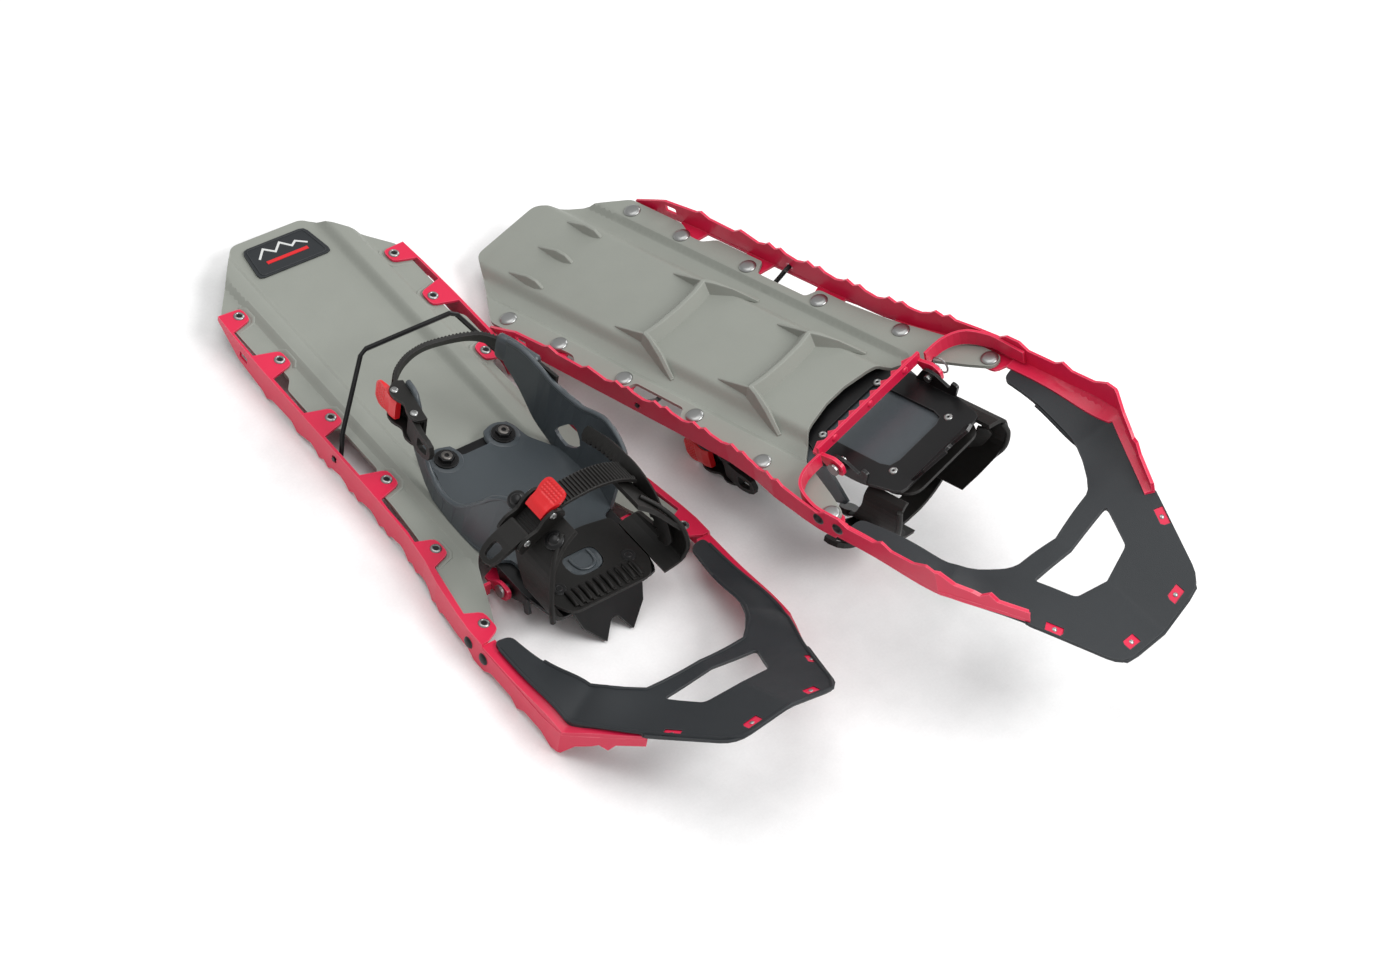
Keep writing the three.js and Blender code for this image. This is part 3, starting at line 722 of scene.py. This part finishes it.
def arch(degrees, out):
    """Sideways and upward place on the ellipse, moved out by some millimetres."""
    a = math.radians(degrees)
    return (ARCH_WIDTH + out) * math.cos(a), ARCH_BASE + (ARCH_HEIGHT + out) * math.sin(a)


def buckle_frame(at, along, outward):
    """A buckle's own millimetres: x towards its strap, y across it, z outward."""
    along, outward = Vector(along).normalized(), Vector(outward).normalized()
    across = outward.cross(along)
    return Matrix.Translation(at) @ Matrix((along, across, outward)).transposed().to_4x4()


INSTEP_X, INSTEP_Z = arch(INSTEP_DEGREES, INSTEP_OUT)
BUCKLES = {
    "instep": buckle_frame(Vector((INSTEP_X, INSTEP_Y, INSTEP_Z)),
                           (-math.sin(INSTEP_TILT), 0, math.cos(INSTEP_TILT)),
                           (math.cos(INSTEP_TILT), 0, math.sin(INSTEP_TILT))),
    "heel": buckle_frame(Vector((50.2, 196.6, HEEL_STRAP_Z)), (-0.169, -0.986, 0), (0.986, -0.169, 0)),
}


def make_straps(side):
    heel = [(-56.8, 228), (-51.6, 196), (-46, 173), (-33, 155), (0, 146.5), (22, 149.5), (38, 158.5),
            (47, 168), (50.8, 176.2), (53.4, 191)]
    bm = ladder_strap([(x, y, HEEL_STRAP_Z) for x, y in heel], (0, 0, 1), (0, 210, HEEL_STRAP_Z), 17.6,
                      toothed=(0.3, 0.97), lean=math.radians(32))
    strap = finish_piece("heel_ladder", bm, side, "black_elastomer", "binding", 28)
    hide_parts(f"{side}_heel_strap")
    instep = [(x, INSTEP_Y, z) for x, z in (arch(d, 6) for d in (150, 138, 124, 110, 96, 84))]
    instep += [BUCKLES["instep"] @ Vector((x, 0, 4.3)) for x in (24, 14, 4)]
    bm = ladder_strap(instep, (0, 1, 0), (0, INSTEP_Y, 20), 19.4, toothed=(0.04, 0.97))
    strap = finish_piece("instep_ladder", bm, side, "black_elastomer", "binding", 28)
    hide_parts(f"{side}_instep_strap")
    tail = [(-50.5, 272, 50), (-47, 300, 63), (-41.5, 322, 72.8), (-42.5, 338, 71.5), (-49, 350, 57),
            (-52.5, 366, 36), (-53, 374, 22)]
    finish_piece("strap_tail", notched_tail(tail), side, "black_elastomer", "binding", 28, bevel=0.3)


def notched_tail(points):
    """Loose strap end lying inside the inner wing, saw-toothed along one edge."""
    run = smooth_run(points, 1.0)
    bm, rings = bmesh.new(), []
    for i, p in enumerate(run):
        ahead = heading(run, i)
        normal = Vector((0.8, 0, 0.6))
        normal = (normal - ahead * normal.dot(ahead)).normalized()
        across = ahead.cross(normal)
        notch = 1.6 if i % 7 < 3 and i > 8 else 0.0
        end = min(1.0, 0.35 + (len(run) - 1 - i) / 5, 0.5 + i / 4)
        ring = [bm.verts.new(p + across * s * end + normal * h)
                for s, h in ((-6, -1.0), (-6, 0.9), (-4.4, 1.3), (4.4 - notch, 1.3), (6 - notch, 0.9),
                             (6 - notch, -1.0))]
        rings.append(ring)
    skin(bm, rings)
    return bm


# ---------------------------------------------------------------- buckles
PAD_OUTLINE = rounded([(4.6, -9.2, 1), (16, -9.2, 3), (22, -11.4, 3), (31, -11.4, 6), (31, 11.4, 6),
                       (22, 11.4, 3), (16, 9.2, 3), (4.6, 9.2, 1)], 6)
GRIP_PITCH = 2.6
BUCKLE_RIVET = [(0, 0.5), (1.2, 0.5), (1.4, 1.0), (2.4, 0.9), (3.0, 0.1), (0, 0)]
TRAY_FLOOR, TRAY_RIBS = 2.5, (-19.5, -17.1, -14.7, -5.1, -2.7, -0.3)


def pad_top(x, y):
    """Top of a thumb pad: domed, with a panel of small raised diamonds."""
    side = abs(y)
    rise = 12.0 + 2.6 * smooth_step(2, 12, x) + 1.2 * smooth_step(12, 30, x) - 0.9 * smooth_step(5, 11, side)
    grip = smooth_step(18, 19.5, x) * (1 - smooth_step(28, 29.5, x)) * (1 - smooth_step(8.2, 9.6, side))
    check = max(0.0, math.cos(math.pi * (x + y) / GRIP_PITCH) * math.cos(math.pi * (x - y) / GRIP_PITCH))
    return rise - 0.5 * grip + 0.95 * grip * check


def pad_bottom(x, y):
    return 8.1 + 4.7 * smooth_step(14, 30, x) + 0.8 * smooth_step(7, 11.4, abs(y))


def make_buckles(side):
    for which, place in BUCKLES.items():
        bm = sheet(PAD_OUTLINE, pad_top, pad_bottom, 0.65)
        bm.transform(place)
        pad = finish_piece(f"{which}_thumb_pad", bm, side, "lever_red", f"{which}_ratchet", 50)
        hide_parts(f"{side}_{which}_ratchet_lever")
        rivets = bmesh.new()
        for x, z in ((13, 10.2), (-13.5, 6.8)):
            for sign in (1, -1):
                merge(rivets, lathe(BUCKLE_RIVET, (x, sign * 13.5, z), (0, sign, 0), 18))
        rivets.transform(place)
        finish_piece(f"{which}_buckle_rivets", rivets, side, "plain_steel", "binding", 50)
        teeth = bmesh.new()
        for x in TRAY_RIBS:
            merge(teeth, ridge([(x, -9.5, 1), (x, 9.5, 1)], 0.25, 0.8, 0.8, lambda px, py: TRAY_FLOOR))
        teeth.transform(place)
        finish_piece(f"{which}_tray_ribs", teeth, side, "black_elastomer", "binding", 30)


# ---------------------------------------------------------------- harness, toe wings and pad
WALL_PATH = [(52, 312), (57, 288), (56, 250), (51, 215), (45, 180)]


def arm_point(y, z, lean):
    """Point on a heel arm at a given y and z; toward the toe the arm tips sideways by lean times z."""
    for (xa, ya), (xb, yb) in zip(WALL_PATH, WALL_PATH[1:]):
        if yb <= y <= ya:
            x = xa + (xb - xa) * (ya - y) / (ya - yb)
            return Vector((x + lean * smooth_step(215, 285, y) * z, y, z))
    return Vector((WALL_PATH[0][0] + lean * z, y, z))


def make_harness_rims(side):
    rims = bmesh.new()
    outer = [(181, 72), (194, 71.5), (205, 56), (213, 38), (224, 24), (238, 16.5), (252, 16), (266, 21),
             (280, 35), (290, 48), (301, 55), (311, 54)]
    merge(rims, tube(smooth_run([arm_point(y, z, -0.24) for y, z in outer], 2.5), 2.3, 12))
    inner = [(181, 69), (196, 71), (212, 67), (228, 61), (244, 57), (257, 56.5), (267, 59.5), (280, 61.5),
             (300, 59), (311, 55)]
    run = [arm_point(y, z, 0.12) for y, z in inner]
    merge(rims, tube(smooth_run([Vector((-p.x, p.y, p.z)) for p in run], 2.5), 2.1, 12))
    finish_piece("harness_rims", rims, side, "smoke_elastomer", "binding", 70)


SLEEVE_THICK, SLEEVE_HEIGHT, SLEEVE_SIDES = 4.2, 11.6, 20


def rounded_wave(value, power):
    """A sine or cosine with its size raised to a power, which squares off the oval that it draws."""
    return math.copysign(abs(value) ** power, value)


def make_sleeve(side):
    """Moulded sleeve that the heel strap comes out of."""
    sleeve = bmesh.new()
    plan = ((-54.8, 207), (-51.6, 196), (-48.3, 182), (-43.5, 169))
    path = smooth_run([(x, y, HEEL_STRAP_Z) for x, y in plan], 2.0)
    rings = []
    for i, p in enumerate(path):
        normal = Vector((0, 0, 1)).cross(heading(path, i)).normalized()
        swell = 1.0 - 0.14 * (i in (0, len(path) - 1))
        ring = []
        for k in range(SLEEVE_SIDES):
            t = 2 * math.pi * k / SLEEVE_SIDES
            up = SLEEVE_HEIGHT * swell * rounded_wave(math.sin(t), 0.5)
            ring.append(sleeve.verts.new(p + normal * SLEEVE_THICK * swell * rounded_wave(math.cos(t), 0.6)
                                         + Vector((0, 0, up))))
        rings.append(ring)
    skin(sleeve, rings)
    finish_piece("strap_sleeve", sleeve, side, "smoke_elastomer", "binding", 50, bevel=0.5)


BOLTS = ((26, 211, 0), (-26, 211, 0))
LOBE = [(0, 6.3), (12.2, 6.3), (13.4, 5.9), (14.2, 4.8), (14.4, 3.2), (0, 3.2)]
BOLT_FACE = [(1.8, 10.7), (2.0, 11.9), (3.2, 12.0), (4.2, 11.6), (4.6, 10.9), (4.6, 10.6), (1.8, 10.7)]
FLAP_BOLT = [(0, 5.4), (2.6, 5.2), (4.0, 4.5), (4.6, 3.4), (6.6, 3.0), (7.4, 2.2), (7.4, -2), (0, -2)]


def make_harness_bolts(side):
    lobes = bmesh.new()
    for at in BOLTS:
        merge(lobes, lathe(LOBE, at, sides=40))
    finish_piece("harness_lobes", lobes, side, "smoke_elastomer", "binding", 40)
    heads = bmesh.new()
    for at in BOLTS:
        merge(heads, lathe(BOLT_FACE, at, sides=24))
    finish_piece("bolt_faces", heads, side, "plain_steel", "binding", 40, finish="dull_steel")
    domes = bmesh.new()
    out = BUCKLES["instep"].to_3x3() @ Vector((0, 0, 1))
    for across in (22.5, -22.5):
        merge(domes, lathe(FLAP_BOLT, BUCKLES["instep"] @ Vector((2, across, -1.5)), out, 28))
    finish_piece("flap_bolts", domes, side, "black_steel", "binding", 40)


TOE_RIVET = [(0, 10.4), (2.2, 10.3), (2.6, 9.9), (3.4, 10.2), (5.0, 10.0), (5.6, 9.2), (0, 9.0)]
TOE_RIVET_X, TOE_RIVET_Y = 31.5, 359
RIB_COUNT, RIB_PITCH = 10, 6.5


def boss_top(x, y):
    return 8.2 + 0.8 * (1 - smooth_step(0.75, 1.0, math.hypot(x / 15, (y - 346.5) / 10.8)))


def make_toe_details(side):
    boss = bmesh.new()
    merge(boss, sheet(rounded([(-15, 336, 7), (15, 336, 7), (15, 357, 13), (-15, 357, 13)], 8), boss_top,
                      lambda x, y: 6.6, 2.0))
    horseshoe = [(-8.5, 339), (-8.5, 346), (-6, 352), (0, 354), (6, 352), (8.5, 346), (8.5, 339)]
    merge(boss, tube(smooth_run([(x, y, 9.2) for x, y in horseshoe], 1.5), 1.3, 10))
    finish_piece("toe_boss", boss, side, "smoke_elastomer", "binding", 40, bevel=0.4)
    rivets = bmesh.new()
    for x in (TOE_RIVET_X, -TOE_RIVET_X):
        merge(rivets, lathe(TOE_RIVET, (x, TOE_RIVET_Y, 0)))
    finish_piece("pad_rivets", rivets, side, "black_steel", "binding", 40)
    ribs = bmesh.new()
    for k in range(RIB_COUNT):
        x = -29.2 + RIB_PITCH * k
        rib = [(x, 364, 9.0), (x + 0.3, 372, 10.4), (x + 0.6, 380, 9.2)]
        merge(ribs, tube(smooth_run(rib, 1.5), 1.9, 10))
    finish_piece("toe_ribs", ribs, side, "black_elastomer", "binding", 40)
    folds = bmesh.new()
    outer = [(54.5, 382.5, 10), (56, 381, 22), (55, 377, 34), (49.5, 369, 50), (42, 362, 60), (34, 356, 68)]
    merge(folds, tube(smooth_run(outer, 2.5), 2.2, 12))
    inner = [(-59, 386, 16), (-61.5, 387, 28), (-59, 383.5, 42), (-54, 376, 52), (-45, 367, 61.5),
             (-34, 356, 68.5)]
    merge(folds, tube(smooth_run(inner, 2.5), 1.9, 12))
    finish_piece("wing_folds", folds, side, "black_elastomer", "binding", 60)


CRAMPON_EYELET = [(0.9, -0.2), (1.0, 0.9), (1.8, 1.3), (3.0, 1.0), (3.5, 0.1), (3.5, -0.2), (0.9, -0.2)]
BAR_STUD = [(0, 1.2), (1.5, 1.1), (2.5, 0.7), (3.0, 0.1), (3.0, -0.3), (0, -0.3)]


def make_under_details(side):
    eyelets = bmesh.new()
    for x, y in mirrored([(TOE_RIVET_X, TOE_RIVET_Y), (TOE_RIVET_X, 291)]):
        merge(eyelets, lathe(CRAMPON_EYELET, (x, y, 0.2), (0, 0, -1), 20))
    finish_piece("crampon_eyelets", eyelets, side, "plain_steel", "binding", 50)
    studs = bmesh.new()
    for x in (40, 0, -40):
        merge(studs, lathe(BAR_STUD, (x, 313.8, -16.8), (0, 1, 0), 20))
    finish_piece("bar_studs", studs, side, "raspberry_steel", "frame", 50)


# ---------------------------------------------------------------- badge
BADGE_TOP, BADGE_RELIEF = -3.0, 0.35


def make_badge(side):
    """Plain decoration on the tail plate: a light zigzag and a red bar inside a raised border."""
    border, peaks, bar = bmesh.new(), bmesh.new(), bmesh.new()
    edge = rounded([(30.6, -32, 4), (26.6, -62, 4), (-26.6, -62, 4), (-30.6, -32, 4)], 5)
    merge(border, tube([Vector((x, y, BADGE_TOP)) for x, y in edge + edge[:1]], 0.55, 8))
    skyline = [(22, -48.5, 0.4), (13.5, -57.5, 1), (6, -50.5, 0.8), (-2, -58, 1), (-9, -50, 0.8),
               (-14, -53.5, 0.8), (-22, -47.5, 0.4)]
    merge(peaks, ridge(skyline, 0.9, 1.2, BADGE_RELIEF, lambda x, y: BADGE_TOP))
    merge(bar, ridge([(19, -42.5, 1), (-19, -42.5, 1)], 1.5, 1.9, BADGE_RELIEF, lambda x, y: BADGE_TOP))
    finish_piece("badge_border", border, side, "nose_charcoal", "frame", 60)
    finish_piece("badge_peaks", peaks, side, "plain_steel", "frame", 30, finish="badge_white")
    finish_piece("badge_bar", bar, side, "lever_red", "frame", 30)


# ---------------------------------------------------------------- carried-over CAD nodes
SLOT_OF = {p["node"]: p["material_slot"] for p in frame["record"]["subparts"]}
# Edge rounding of a node, by the first of these words that its name holds
BEVELS = {"rail": 0.7, "bracket": 0.6, "pivot_bar": 0.6, "crampon": 0.6, "harness": 1.1, "toe_pad": 0.7,
          "toe_wing": 1.0, "strap": 0.6, "buckle": 0.6, "lever": 0.8, "lift_bail": 0.0, "pin": 0.3,
          "bolt": 0.6, "badge": 0.4}
PLAIN_BEVEL = 0.5


def dress_nodes():
    for name, node in frame["nodes"].items():
        node.data.materials.clear()
        node.data.materials.append(MATERIALS[SLOT_OF[name]])
        width = next((w for key, w in BEVELS.items() if key in name), PLAIN_BEVEL)
        dress(node, 35, width)


make_camera()
make_studio()
dress_nodes()
for shoe in SIDES:
    make_deck(shoe)
    make_rivets(shoe)
    make_badge(shoe)
    make_nose(shoe)
    make_straps(shoe)
    make_buckles(shoe)
    make_harness_rims(shoe)
    make_sleeve(shoe)
    make_harness_bolts(shoe)
    make_toe_details(shoe)
    make_under_details(shoe)
